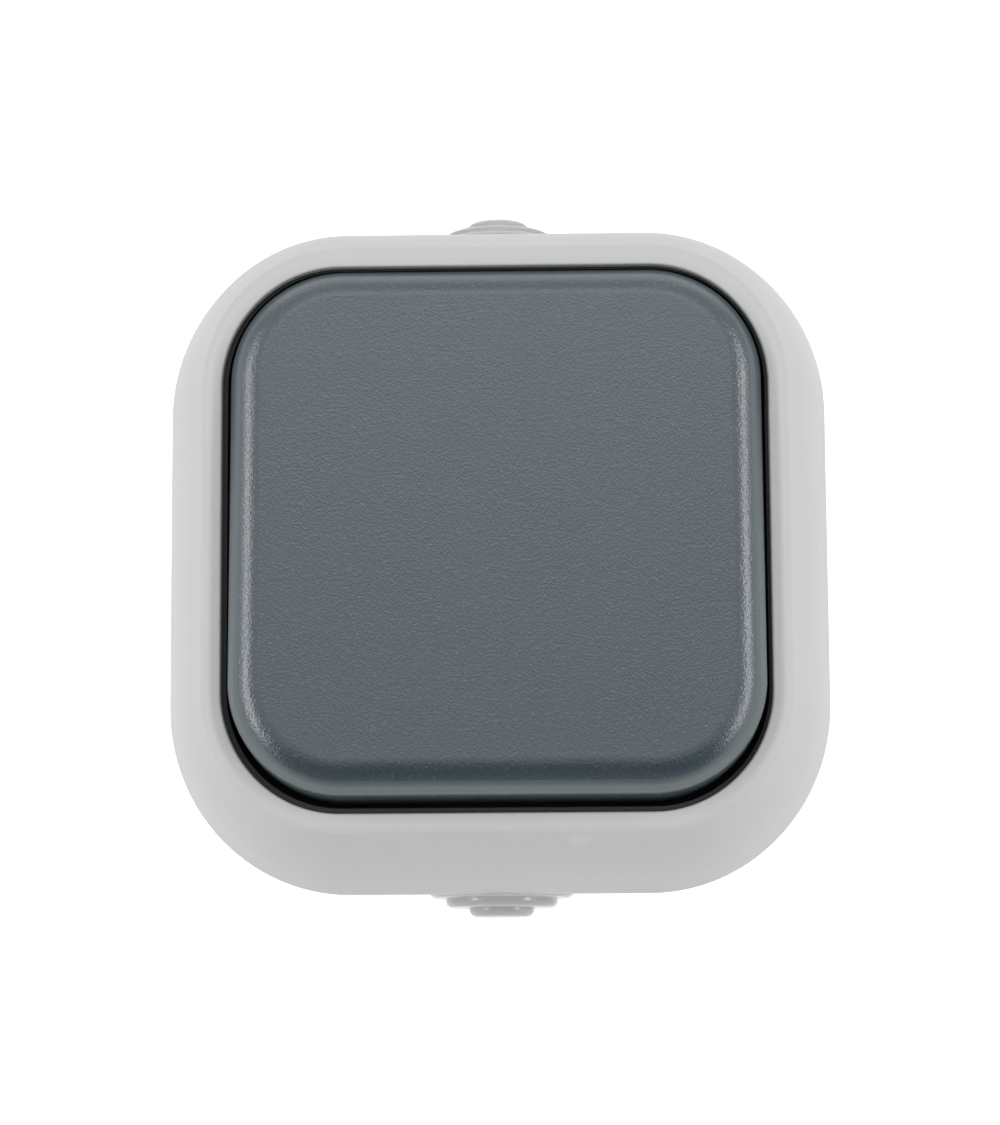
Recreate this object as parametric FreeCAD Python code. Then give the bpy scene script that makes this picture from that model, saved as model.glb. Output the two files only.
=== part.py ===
import FreeCAD, Part
import math
import os

# Surface-mounted weatherproof rocker switch, in millimetres.
# The wall is the plane y = 0, the switch faces -Y and +Z is up.
# Depths are counted from the wall towards the user: a point at depth d has y = -d.

Vector = FreeCAD.Vector
ACROSS = Vector(1, 0, 0)
UP = Vector(0, 0, 1)
OUT = Vector(0, -1, 0)

# Cover frame, seen from the front
cover_corner = 18.4
band_width = 6.7

# Cover frame, in depth
rim_setback = 1.7
cover_rise = 16.0
skirt_length = 1.7
skirt_wall = 1.6
rim_radius = 2.0
lip_land = 1.45
lip_chamfer = 0.7
nose_outer_radius = 0.8
slope_bulge = 0.85
slope_radius = 60.0
opening_wall = 1.6
slope_wall = 2.0
sealing_rib_width = 2.1
gusset_width = 1.2
gusset_setback = 1.0
gusset_root = 1.0
cover_floor = 2.0
window_width = 36.0
window_height = 30.0
window_corner = 2.0

# Base box
skirt_clearance = 0.3
base_depth = 36.2
base_wall = 2.4
base_floor = 2.5
base_back_chamfer = 0.8
back_border = 4.0
back_relief = 0.6
back_rib_width = 5.0
wall_screw_side_room = 9.7
wall_screw_end_room = 5.45
wall_screw_hole_radius = 2.25
wall_screw_collar_radius = 4.0
wall_screw_collar_height = 3.5
wall_screw_pad = 10.0
pillar_radius = 3.4
pillar_rib_width = 1.6
pillar_rib_setback = 4.0
post_width = 6.8
post_height = 8.0
post_clearance = 0.9
wiring_room = 13.45

# Cable grommets
grommet_setback = 8.9
grommet_flange_radius = 7.3
grommet_flange_thickness = 2.4
grommet_second_radius = 5.65
grommet_second_thickness = 1.0
grommet_third_radius = 3.3
grommet_third_thickness = 1.25
grommet_neck_radius = 5.8
grommet_inner_radius = 6.9
grommet_inner_thickness = 1.35
grommet_membrane = 0.9
grommet_notch_clearance = 0.25
grommet_hole_clearance = 0.1

# Gasket between base and cover
gasket_thickness = 1.2
gasket_width = 1.8

# Rubber seal round the rocker
seal_collar = 0.68
seal_inner_corner = 10.6
seal_recess = 1.8
seal_membrane = 1.0
seal_bellows_wall = 0.8
seal_bellows_height = 3.0
seal_bellows_corner = 3.0
seal_screw_clearance = 0.5

# Rocker, drawn level and then tilted to its rest position
rocker_side_gap = 0.85
rocker_end_gap = 1.05
rocker_corner = 11.25
rocker_stand_out = 3.5
rocker_band_run = 1.43
rocker_band_drop = 2.0
rocker_crease_radius = 1.4
rocker_skirt = 4.2
rocker_wall = 1.8
rocker_rib_width = 1.2
rocker_rib_x = 9.5
rocker_rib_length = 36.0
rocker_rib_height = 2.6
rocker_tilt = 3.75
pivot_drop = 9.0

# Actuator cradle under the rocker
actuator_plate = 1.8
actuator_lift = 1.4
actuator_length = 16.0
cheek_wall = 1.8
cheek_length = 6.0
cheek_reach = 2.0
pin_radius = 1.5
pin_running_clearance = 0.05
cheek_clearance = 0.3
barrel_radius = 3.2
barrel_reach = 7.5
barrel_roof = 1.4
hook_x = 6.5
hook_width = 2.4
hook_length = 3.0
hook_barb = 0.5
hook_barb_height = 0.9
hook_clearance = 0.1

# Spring plunger
plunger_radius = 1.75
plunger_running_clearance = 0.1
plunger_nose_radius = 1.2
plunger_nose_length = 1.4
plunger_tip_clearance = 0.1
spring_wire_radius = 0.25
spring_bore_clearance = 0.15
spring_turns = 3.5
spring_room = 5.3
spring_end_clearance = 0.05

# Switching insert
insert_width = 42.0
insert_height = 31.0
insert_length = 19.5
insert_floor = 3.0
insert_corner = 1.5
chamber_width = 8.0
strap_setback = 2.7
strap_thickness = 1.2
strap_end_clearance = 0.8
strap_height = 16.0
strap_corner = 2.0
strap_window_width = 22.0
strap_window_height = 12.4
strap_screw_radius = 1.5
strap_screw_head_radius = 3.0
strap_screw_head_height = 1.6
strap_screw_length = 8.0
strap_hole_clearance = 0.3
insert_top_width = 34.0
insert_top_height = 26.0
insert_top_thickness = 1.5
insert_block_width = 26.0
insert_block_height = 20.0
insert_block_clearance = 5.0
insert_foot_clearance = 0.2
well_width = 10.0
well_height = 12.0
ear_wall = 2.2
ear_height = 7.2
ear_gap = 26.8

# Contacts and terminals
contact_tilt = 5.0
contact_setback = 2.5
contact_width = 5.0
contact_thickness = 0.8
knife_width = 0.2
knife_clearance = 0.02
knife_taper = 1.6
sheet = 1.0
contact_plate_width = 6.0
contact_plate_inner = 5.8
rivet_span = 14.6
rivet_radius = 1.4
rivet_edge = 1.3
rivet_height = 0.6
rivet_clearance = 0.04
terminal_spacing = 24.2
cage_wall = 3.0
cage_width = 10.0
cage_reach = 8.7
cage_clearance = 0.1
terminal_lift = 1.0
clamp_width = 7.0
clamp_strip = 0.4
clamp_bend = 0.8
clamp_leg = 8.0
clamp_leg_start = 1.6
clamp_headroom = 4.3
clamp_knee = 4.6
clamp_fall = 7.7
clamp_contact_clearance = 0.05
wire_hole_radius = 1.3
wire_hole_spacing = 6.0
button_width = 2.2
button_thickness = 1.8
button_offset = 3.3
button_stand_out = 0.8
button_play = 2.5
button_collar = 0.9
button_collar_height = 1.2
button_clearance = 0.1

# Cover screws
cover_screw_side_room = 9.4
cover_screw_end_room = 8.95
cover_screw_radius = 1.45
cover_screw_head_radius = 3.0
cover_screw_head_height = 2.0
cover_screw_length = 12.0
cover_screw_clearance = 0.4
screw_fit = 0.02
drive_slot_width = 0.8
drive_slot_depth = 0.9

# Values that follow from the ones above
inner_half_x = insert_width / 2 + post_clearance + post_width
inner_half_z = insert_height / 2 + wiring_room
base_inset = skirt_wall + skirt_clearance
base_half_x = inner_half_x + base_wall
base_half_z = inner_half_z + base_wall
base_corner = cover_corner - base_inset
rim_half_x = base_half_x + base_inset
rim_half_z = base_half_z + base_inset
lip_half_x = rim_half_x - band_width
lip_half_z = rim_half_z - band_width
lip_corner = cover_corner - band_width
rim_depth = base_depth - rim_setback
lip_depth = rim_depth + cover_rise
gasket_front = base_depth + gasket_thickness
floor_back = gasket_front + terminal_lift
floor_front = floor_back + cover_floor
seal_front = lip_depth - seal_recess
rocker_half_x = lip_half_x - rocker_side_gap
rocker_half_z = lip_half_z - rocker_end_gap
rocker_face_depth = lip_depth + rocker_stand_out
rocker_back = rocker_face_depth - rocker_wall
pivot_depth = rocker_face_depth - pivot_drop
plate_back = pivot_depth + actuator_lift
plate_front = plate_back + actuator_plate
strap_back = base_depth - strap_setback
contact_pivot_depth = strap_back - contact_setback
strap_front = strap_back + strap_thickness
insert_top_front = strap_front + insert_top_thickness
ear_inner = ear_gap / 2
cheek_outer = ear_inner - cheek_clearance
strap_half_x = inner_half_x - strap_end_clearance
post_inner = insert_width / 2 + post_clearance
strap_screw_x = (post_inner + inner_half_x) / 2
plunger_tip = contact_pivot_depth + contact_thickness + plunger_tip_clearance
bore_radius = plunger_radius + plunger_running_clearance
bore_end = plate_back + actuator_plate - barrel_roof
plunger_back = bore_end - spring_room
insert_back = strap_back - insert_length
pocket_floor = insert_back + insert_floor
cage_x = insert_width / 2 - cage_wall - cage_width / 2
terminal_z = terminal_spacing / 2
clamp_top = strap_back - clamp_headroom
clamp_tip = clamp_top - clamp_fall
grommet_depth = base_depth - grommet_setback
cover_screw_x = inner_half_x - cover_screw_side_room
cover_screw_z = inner_half_z - cover_screw_end_room
wall_screw_x = inner_half_x - wall_screw_side_room
wall_screw_z = inner_half_z - wall_screw_end_room


def at(x, depth, z):
    """Point given by its depth from the wall."""
    return Vector(x, -depth, z)


def slab(half_x, half_z, corner, back, front, x=0.0, z=0.0):
    """Plate parallel to the wall with rounded corners, between two depths."""
    size = (2 * half_x, front - back, 2 * half_z)
    block = Part.makeBox(*size, at(x - half_x, front, z - half_z))
    if not corner:
        return block
    upright = [edge for edge in block.Edges if edge.BoundBox.YLength > size[1] / 2]
    return block.makeFillet(min(corner, half_x * 0.98, half_z * 0.98), upright)


def block_between(x0, x1, back, front, z0, z1):
    """Plain block between two planes on each axis."""
    low_x, high_x = min(x0, x1), max(x0, x1)
    low_z, high_z = min(z0, z1), max(z0, z1)
    return Part.makeBox(high_x - low_x, front - back, high_z - low_z, at(low_x, front, low_z))


def peg(radius, back, front, x=0.0, z=0.0):
    """Round bar at right angles to the wall."""
    return Part.makeCylinder(radius, front - back, at(x, back, z), OUT)


def rounded_face(corners, across, along, origin=Vector(0, 0, 0)):
    """Flat face through (u, v, radius) corners, each rounded as far as its sides allow."""
    points = [origin + across * u + along * v for u, v, radius in corners]
    edges = []
    entries = []
    exits = []
    for index, here in enumerate(points):
        back_way = points[index - 1] - here
        on_way = points[(index + 1) % len(points)] - here
        room = 0.48 * min(back_way.Length, on_way.Length)
        half_angle = back_way.getAngle(on_way) / 2
        reach = min(corners[index][2] / math.tan(half_angle), room)
        back_way.normalize()
        on_way.normalize()
        entries.append(here + back_way * reach)
        exits.append(here + on_way * reach)
        if reach > 0:
            inward = back_way + on_way
            inward.normalize()
            radius = reach * math.tan(half_angle)
            middle = here + inward * (radius / math.sin(half_angle) - radius)
            edges.append(Part.Arc(entries[index], middle, exits[index]).toShape())
    for index, leave in enumerate(exits):
        arrive = entries[(index + 1) % len(points)]
        if leave.distanceToPoint(arrive) > 1e-6:
            edges.append(Part.makeLine(leave, arrive))
    return Part.Face(Part.Wire(Part.__sortEdges__(edges)))


def carried_round(corners, half_x, half_z, corner):
    """Ring with one section carried round a rounded rectangle.

    The section's corners are (outward distance from the outline, depth, radius).
    """
    section = rounded_face(corners, ACROSS, OUT)
    run_x = half_x - corner
    run_z = half_z - corner
    centres = [(run_x, run_z), (-run_x, run_z), (-run_x, -run_z), (run_x, -run_z)]
    pieces = []
    for quarter, (x, z) in enumerate(centres):
        turned = section.copy()
        turned.translate(Vector(corner, 0, 0))
        turned.rotate(Vector(0, 0, 0), OUT, 90 * quarter)
        turned.translate(Vector(x, 0, z))
        pieces.append(turned.revolve(Vector(x, 0, z), OUT, 90))
        turned.rotate(Vector(x, 0, z), OUT, 90)
        next_x, next_z = centres[(quarter + 1) % 4]
        pieces.append(turned.extrude(Vector(next_x - x, 0, next_z - z)))
    return pieces[0].multiFuse(pieces[1:]).removeSplitter()


def turned_part(corners, axis_point, axis):
    """Solid of revolution with straight sides; corners are (radius, height along the axis)."""
    sharp = [(radius, height, 0) for radius, height in corners]
    section = rounded_face(sharp, ACROSS, axis, axis_point)
    return section.revolve(axis_point, axis, 360)


def bent_strip(path, thickness, bend, width, x):
    """Sheet-metal strip bent along (z, depth) points and centred on x."""
    sides = []
    for sign in (1, -1):
        side = []
        for index, (z, depth) in enumerate(path):
            here = Vector(z, depth, 0)
            before = here - Vector(*path[index - 1], 0) if index else None
            last = index == len(path) - 1
            after = None if last else Vector(*path[index + 1], 0) - here
            normals = [Vector(-way.y, way.x, 0).normalize() for way in (before, after) if way]
            normal = sum(normals, Vector(0, 0, 0)).normalize()
            stretch = 1 / normal.dot(normals[0])
            corner = here + normal * (sign * stretch * thickness / 2)
            turn = 0.0
            if len(normals) == 2:
                outer = (normals[0].cross(normals[1]).z < 0) == (sign > 0)
                turn = bend + thickness if outer else bend
            side.append((corner.x, corner.y, turn))
        sides.append(side)
    outline = sides[0] + sides[1][::-1]
    face = rounded_face(outline, UP, OUT, Vector(x - width / 2, 0, 0))
    return face.extrude(Vector(width, 0, 0))


def tilted(shape):
    """Turn a part of the rocker about its pivot axis to the rest position."""
    turned = shape.copy()
    turned.rotate(at(0, pivot_depth, 0), ACROSS, -rocker_tilt)
    return turned


def screw(head_radius, head_height, radius, length, seat, x, z):
    """Slotted pan-head screw whose head sits on a seat depth."""
    top = seat + head_height
    body = peg(radius, seat - length, seat, x, z).fuse(peg(head_radius, seat, top, x, z))
    slot = slab(head_radius, drive_slot_width / 2, 0, top - drive_slot_depth, top + 1, x, z)
    return body.cut(slot)


def cover_screw_places():
    return [(-cover_screw_x, cover_screw_z), (cover_screw_x, -cover_screw_z)]


def wall_screw_places():
    return [(wall_screw_x, wall_screw_z), (-wall_screw_x, -wall_screw_z)]


def channel_roots():
    """Channel behind the slope: where its rib starts, and how deep it is at the rib and at the opening."""
    rib_inner = band_width - skirt_wall - sealing_rib_width
    run = (band_width - lip_land) / cover_rise
    rib_root = lip_depth - (rib_inner + slope_wall - lip_land) / run
    wall_root = lip_depth - (opening_wall + slope_wall - lip_land) / run
    return rib_inner, rib_root, wall_root


def cover_section():
    """Section of the cover frame, counted outwards from the edge of its opening."""
    half_land = Vector((lip_land + band_width) / 2, (lip_depth + rim_depth) / 2, 0)
    fall = Vector(cover_rise, band_width - lip_land, 0).normalize()
    bulge = half_land + fall * slope_bulge
    skirt_back = rim_depth - skirt_length
    skirt_inner = band_width - skirt_wall
    rib_inner, rib_root, wall_root = channel_roots()
    return [
        (0, gasket_front, 0),
        (0, lip_depth - lip_chamfer, 0),
        (lip_chamfer, lip_depth, 0),
        (lip_land, lip_depth, nose_outer_radius),
        (bulge.x, bulge.y, slope_radius),
        (band_width, rim_depth, rim_radius),
        (band_width, skirt_back, 0),
        (skirt_inner, skirt_back, 0),
        (skirt_inner, gasket_front, 0),
        (rib_inner, gasket_front, 0),
        (rib_inner, rib_root, 0),
        (opening_wall, wall_root, 0),
        (opening_wall, gasket_front, 0),
    ]


def cover_gussets():
    """Short ribs that tie the opening wall to the sealing rib behind the slope."""
    back = gasket_front + gusset_setback
    rib_inner, rib_root, wall_root = channel_roots()
    corners = [
        (opening_wall / 2, back, 0),
        (rib_inner + sealing_rib_width / 2, back, 0),
        (rib_inner + sealing_rib_width / 2, rib_root, 0),
        (rib_inner, rib_root + gusset_root, 0),
        (opening_wall, wall_root + gusset_root, 0),
        (opening_wall / 2, wall_root, 0),
    ]
    web = rounded_face(corners, ACROSS, OUT).extrude(Vector(0, 0, gusset_width))
    web.translate(Vector(0, 0, -gusset_width / 2))
    gussets = []
    for quarter in range(4):
        ends = quarter % 2
        reach = lip_half_z if ends else lip_half_x
        spread = (lip_half_x if ends else lip_half_z) / 3
        for along in (-spread, spread):
            gusset = web.copy()
            gusset.translate(Vector(reach, 0, along))
            gusset.rotate(Vector(0, 0, 0), OUT, 90 * quarter)
            gussets.append(gusset)
    return gussets


def grommet_notch(side):
    """Round bar that clears a grommet out of the cover's skirt."""
    radius = grommet_flange_radius + grommet_notch_clearance
    start = at(0, grommet_depth, side * (rim_half_z - base_inset - base_wall))
    return Part.makeCylinder(radius, rim_half_z, start, UP * side)


def make_cover_frame():
    ring = carried_round(cover_section(), lip_half_x, lip_half_z, lip_corner)
    overlap = opening_wall / 2
    floor = slab(lip_half_x + overlap, lip_half_z + overlap, lip_corner + overlap, floor_back, floor_front)
    cover = ring.multiFuse([floor] + cover_gussets())
    cuts = [slab(window_width / 2, window_height / 2, window_corner, floor_back - 1, floor_front + 1)]
    for x, z in cover_screw_places():
        cuts.append(peg(cover_screw_radius + cover_screw_clearance, floor_back - 1, floor_front + 1, x, z))
    cuts.append(grommet_notch(1))
    cuts.append(grommet_notch(-1))
    return cover.cut(cuts).removeSplitter()


def base_back_relief():
    """Shallow pockets in the back that leave a border, a cross and the screw pads."""
    half_x = base_half_x - back_border
    half_z = base_half_z - back_border
    relief = slab(half_x, half_z, base_corner - back_border, 0, back_relief)
    keep = [
        slab(half_x, back_rib_width / 2, 0, 0, back_relief),
        slab(back_rib_width / 2, half_z, 0, 0, back_relief),
    ]
    pad = wall_screw_pad / 2
    keep += [slab(pad, pad, 0, 0, back_relief, x, z) for x, z in wall_screw_places()]
    return relief.cut(keep)


def pillar_rib(x, z):
    """Web that ties a cover-screw pillar to the nearest side wall."""
    side = 1 if x > 0 else -1
    half = pillar_rib_width / 2
    wall = side * (inner_half_x + base_wall / 2)
    front = base_depth - pillar_rib_setback
    return block_between(x, wall, base_floor / 2, front, z - half, z + half)


def make_base_box():
    shell = slab(base_half_x, base_half_z, base_corner, 0, base_depth)
    back_edges = [edge for edge in shell.Edges if edge.BoundBox.YMin > -0.001]
    shell = shell.makeChamfer(base_back_chamfer, back_edges)
    room = slab(inner_half_x, inner_half_z, base_corner - base_wall, base_floor, base_depth + 1)
    shell = shell.cut(room)
    pieces = []
    for x, z in wall_screw_places():
        pieces.append(peg(wall_screw_collar_radius, base_floor / 2, base_floor + wall_screw_collar_height, x, z))
    for x, z in cover_screw_places():
        pieces.append(peg(pillar_radius, base_floor / 2, floor_back, x, z))
        pieces.append(pillar_rib(x, z))
    for side in (1, -1):
        outer = inner_half_x + base_wall / 2
        pieces.append(
            block_between(side * post_inner, side * outer, base_floor / 2, strap_back, -post_height / 2, post_height / 2)
        )
    box = shell.multiFuse(pieces)
    cuts = [base_back_relief()]
    for x, z in wall_screw_places():
        cuts.append(peg(wall_screw_hole_radius, -1, base_depth / 2, x, z))
    for x, z in cover_screw_places():
        cuts.append(peg(cover_screw_radius + screw_fit, floor_front - cover_screw_length - 1, floor_back + 1, x, z))
    for side in (1, -1):
        screw_end = strap_front - strap_screw_length
        cuts.append(peg(strap_screw_radius + screw_fit, screw_end - 1, strap_back + 1, side * strap_screw_x, 0))
        hole_start = at(0, grommet_depth, side * (inner_half_z - 1))
        hole_radius = grommet_neck_radius + grommet_hole_clearance
        cuts.append(Part.makeCylinder(hole_radius, base_wall + 2, hole_start, UP * side))
    return box.cut(cuts).removeSplitter()


def make_cable_grommet(side):
    """Stepped membrane grommet that grips the wall of the base box."""
    outer_face = base_half_z
    first = outer_face + grommet_flange_thickness
    second = first + grommet_second_thickness
    third = second + grommet_third_thickness
    skin = grommet_membrane
    corners = [
        (0, third),
        (grommet_third_radius, third),
        (grommet_third_radius, second),
        (grommet_second_radius, second),
        (grommet_second_radius, first),
        (grommet_flange_radius, first),
        (grommet_flange_radius, outer_face),
        (grommet_neck_radius, outer_face),
        (grommet_neck_radius, inner_half_z),
        (grommet_inner_radius, inner_half_z),
        (grommet_inner_radius, inner_half_z - grommet_inner_thickness),
        (grommet_second_radius - skin, inner_half_z - grommet_inner_thickness),
        (grommet_second_radius - skin, second - skin),
        (0, second - skin),
    ]
    return turned_part(corners, at(0, grommet_depth, 0), UP * side)


def make_rim_gasket():
    outer = base_wall
    corners = [
        (outer, base_depth, 0),
        (outer, gasket_front, 0),
        (outer - gasket_width, gasket_front, 0),
        (outer - gasket_width, base_depth, 0),
    ]
    return carried_round(corners, inner_half_x, inner_half_z, base_corner - base_wall)


def make_rocker_seal():
    """Rubber moulding: collar in the opening, membrane on the floor, bellows at the window."""
    collar = slab(lip_half_x, lip_half_z, lip_corner, floor_front, seal_front)
    inner_x = lip_half_x - seal_collar
    inner_z = lip_half_z - seal_collar
    hollow = slab(inner_x, inner_z, seal_inner_corner, floor_front + seal_membrane, seal_front + 1)
    collar = collar.cut(hollow)
    half_x = window_width / 2
    half_z = window_height / 2
    skin = seal_bellows_wall
    top = floor_front + seal_membrane + seal_bellows_height
    bellows = slab(half_x + skin, half_z + skin, seal_bellows_corner, floor_front, top)
    seal = collar.fuse(bellows)
    cuts = [slab(half_x, half_z, window_corner, floor_front - 1, top + 1)]
    for x, z in cover_screw_places():
        radius = cover_screw_head_radius + seal_screw_clearance
        cuts.append(peg(radius, floor_front - 1, floor_front + seal_membrane + 1, x, z))
    return seal.cut(cuts).removeSplitter()


def rocker_section():
    """Section of the rocker's border, counted outwards from its outline."""
    rise = math.hypot(rocker_band_run, rocker_band_drop)
    half_turn = math.atan2(rocker_band_drop, rocker_band_run) / 2
    reach = rocker_crease_radius * math.tan(half_turn)
    scale = 1 + reach / rise
    edge_depth = rocker_face_depth - rocker_band_drop * scale
    crease = -rocker_band_run * scale
    inner = crease - reach - rocker_wall
    return [
        (0, edge_depth - rocker_skirt, 0),
        (0, edge_depth, 0),
        (crease, rocker_face_depth, rocker_crease_radius),
        (inner, rocker_face_depth, 0),
        (inner, rocker_back, 0),
        (crease, rocker_back, 0),
        (-rocker_wall, edge_depth, 0),
        (-rocker_wall, edge_depth - rocker_skirt, 0),
    ]


def make_rocker():
    section = rocker_section()
    border = carried_round(section, rocker_half_x, rocker_half_z, rocker_corner)
    inner = section[3][0] / 2 + section[2][0] / 2
    face = slab(rocker_half_x + inner, rocker_half_z + inner, rocker_corner + inner, rocker_back, rocker_face_depth)
    pieces = [face]
    root = rocker_back + rocker_wall / 2
    for side in (1, -1):
        x = side * rocker_rib_x
        pieces.append(slab(rocker_rib_width / 2, rocker_rib_length / 2, 0, rocker_back - rocker_rib_height, root, x))
        pieces.append(slab(rocker_rib_width / 2, actuator_length / 2, 0, plate_front, root, x))
        pieces.append(rocker_hook(side, root))
    for side in (1, -1):
        z = side * rocker_rib_length / 3
        pieces.append(slab(rocker_rib_x, rocker_rib_width / 2, 0, rocker_back - rocker_rib_height, root, 0, z))
    return tilted(border.multiFuse(pieces).removeSplitter())


def rocker_hook(side, root):
    """Snap hook that grips the actuator plate from behind."""
    barb_front = plate_back
    barb_back = barb_front - hook_barb_height
    inner = side * (hook_x - hook_width / 2)
    outer = side * (hook_x + hook_width / 2)
    corners = [
        (inner, root, 0),
        (outer, root, 0),
        (outer, barb_front, 0),
        (outer + side * hook_barb, barb_front, 0),
        (outer, barb_back, 0),
        (inner, barb_back, 0),
    ]
    face = rounded_face(corners, ACROSS, OUT, Vector(0, 0, -hook_length / 2))
    return face.extrude(Vector(0, 0, hook_length))


def make_actuator():
    """Cradle with pivot pins and a barrel for the spring plunger."""
    pieces = []
    for side in (1, -1):
        inner = side * (cheek_outer - cheek_wall)
        outer = side * cheek_outer
        back = pivot_depth - cheek_reach
        cheek = block_between(inner, outer, back, plate_front, -cheek_length / 2, cheek_length / 2)
        pieces.append(cheek)
        pin_length = cheek_clearance + ear_wall + cheek_wall / 2
        start = at(side * (cheek_outer - cheek_wall / 2), pivot_depth, 0)
        pieces.append(Part.makeCylinder(pin_radius, pin_length, start, ACROSS * side))
    pieces.append(peg(barrel_radius, pivot_depth - barrel_reach, plate_back + actuator_plate / 2))
    plate = slab(cheek_outer, actuator_length / 2, 0, plate_back, plate_front)
    cradle = plate.multiFuse(pieces)
    cuts = [peg(bore_radius, pivot_depth - barrel_reach - 1, bore_end)]
    for side in (1, -1):
        half = hook_width / 2 + hook_clearance
        cuts.append(
            slab(half, hook_length / 2 + hook_clearance, 0, plate_back - 1, plate_front + 1, side * hook_x)
        )
    return tilted(cradle.cut(cuts).removeSplitter())


def make_plunger():
    body_back = plunger_tip + plunger_nose_radius + plunger_nose_length
    corners = [
        (0, plunger_tip),
        (plunger_nose_radius / 2, plunger_tip),
        (plunger_nose_radius, plunger_tip + plunger_nose_radius),
        (plunger_nose_radius, body_back),
        (plunger_radius, body_back),
        (plunger_radius, plunger_back),
        (0, plunger_back),
    ]
    return tilted(turned_part(corners, Vector(0, 0, 0), OUT))


def make_toggle_spring():
    """Coil spring between the plunger and the end of its bore."""
    coil_radius = bore_radius - spring_bore_clearance - spring_wire_radius
    start = plunger_back + spring_end_clearance + spring_wire_radius
    end = bore_end - spring_end_clearance - spring_wire_radius
    helix = Part.makeHelix((end - start) / spring_turns, end - start, coil_radius)
    profile = Part.makePolygon(
        [
            Vector(
                coil_radius + spring_wire_radius * math.cos(math.radians(turn)),
                0,
                spring_wire_radius * math.sin(math.radians(turn)),
            )
            for turn in range(0, 361, 90)
        ]
    )
    coil = Part.Wire(helix.Edges).makePipeShell([profile], True, True)
    coil.rotate(Vector(0, 0, 0), ACROSS, 90)
    coil.translate(at(0, start, 0))
    return tilted(coil)


def cage_pockets():
    """Places of the three terminals: (side in x, z of the sheet, way to the cage in z)."""
    return {"common": (1, 0.0, -1), "a": (-1, terminal_z, -1), "b": (-1, -terminal_z, 1)}


def make_insert_body():
    """Thermoplastic block with a contact chamber, three terminal cages and wire entries."""
    half_x = insert_width / 2
    half_z = insert_height / 2
    body = slab(half_x, half_z, insert_corner, insert_back, strap_back)
    slot = sheet / 2 + cage_clearance
    cuts = [slab(chamber_width / 2, terminal_z + slot, 0, pocket_floor, strap_back + 1)]
    for side, z, way in cage_pockets().values():
        x = side * cage_x
        near = z - way * slot
        far = z + way * cage_reach
        cuts.append(block_between(x - cage_width / 2, x + cage_width / 2, pocket_floor, strap_back + 1, near, far))
        cuts.append(block_between(0, x, pocket_floor, strap_back + 1, z - slot, z + slot))
        hole_z = z + way * (sheet / 2 + wire_hole_radius)
        for hole_x in (x - wire_hole_spacing / 2, x + wire_hole_spacing / 2):
            cuts.append(peg(wire_hole_radius, insert_back - 1, pocket_floor + 1, hole_x, hole_z))
        button_z = z + way * button_offset
        half = button_width / 2 + button_clearance
        deep = button_thickness / 2 + button_clearance
        cuts.append(slab(half, deep, 0, insert_back - 1, pocket_floor + 1, x, button_z))
    return body.cut(cuts).removeSplitter()


def make_support_strap():
    strap = slab(strap_half_x, strap_height / 2, strap_corner, strap_back, strap_front)
    cuts = [slab(strap_window_width / 2, strap_window_height / 2, 0, strap_back - 1, strap_front + 1)]
    for side in (1, -1):
        radius = strap_screw_radius + strap_hole_clearance
        cuts.append(peg(radius, strap_back - 1, strap_front + 1, side * strap_screw_x))
    return strap.cut(cuts)


def make_insert_cover():
    """Top of the insert with the two bearing ears for the rocker's pins."""
    top = slab(insert_top_width / 2, insert_top_height / 2, insert_corner, strap_front, insert_top_front)
    block_front = pivot_depth - insert_block_clearance
    pieces = [slab(insert_block_width / 2, insert_block_height / 2, insert_corner, strap_front, block_front)]
    foot = strap_height / 2 + insert_foot_clearance
    for side in (1, -1):
        z0 = side * foot
        z1 = side * insert_top_height / 2
        half = insert_top_width / 2 - insert_corner
        pieces.append(block_between(-half, half, strap_back, insert_top_front, z0, z1))
        x = side * (ear_inner + ear_wall / 2)
        pieces.append(slab(ear_wall / 2, ear_height / 2, 0, strap_front, pivot_depth, x))
        start = at(side * ear_inner, pivot_depth, 0)
        pieces.append(Part.makeCylinder(ear_height / 2, ear_wall, start, ACROSS * side))
    cover = top.multiFuse(pieces)
    cuts = [slab(well_width / 2, well_height / 2, insert_corner, strap_back - 1, block_front + 1)]
    bore = at(-insert_width, pivot_depth, 0)
    cuts.append(Part.makeCylinder(pin_radius + pin_running_clearance, 2 * insert_width, bore, ACROSS))
    return cover.cut(cuts).removeSplitter()


def terminal_plate(side, z, inner_x, front):
    """Upright sheet that runs from the contact chamber into a terminal cage."""
    outer_x = side * (cage_x + cage_width / 2 - cage_clearance)
    return block_between(inner_x, outer_x, pocket_floor + terminal_lift, front, z - sheet / 2, z + sheet / 2)


def make_common_terminal():
    """Terminal whose upper edge is the knife on which the moving contact rocks."""
    side, z, way = cage_pockets()["common"]
    half = contact_plate_width / 2
    knife_tip = contact_pivot_depth - knife_clearance
    root = knife_tip - knife_taper
    plate = terminal_plate(side, z, -half, root)
    corners = [
        (-sheet / 2, root, 0),
        (sheet / 2, root, 0),
        (knife_width / 2, knife_tip, 0),
        (-knife_width / 2, knife_tip, 0),
    ]
    knife = rounded_face(corners, UP, OUT, Vector(-half, 0, z)).extrude(Vector(2 * half, 0, 0))
    return plate.fuse(knife).removeSplitter()


def fixed_rivet_front():
    """Depth of the fixed rivets' faces, just clear of the closed moving rivet."""
    angle = math.radians(contact_tilt)
    outer = rivet_span / 2 + rivet_radius
    drop = rivet_height * math.cos(angle) + outer * math.sin(angle)
    return contact_pivot_depth - drop - rivet_clearance


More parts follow.
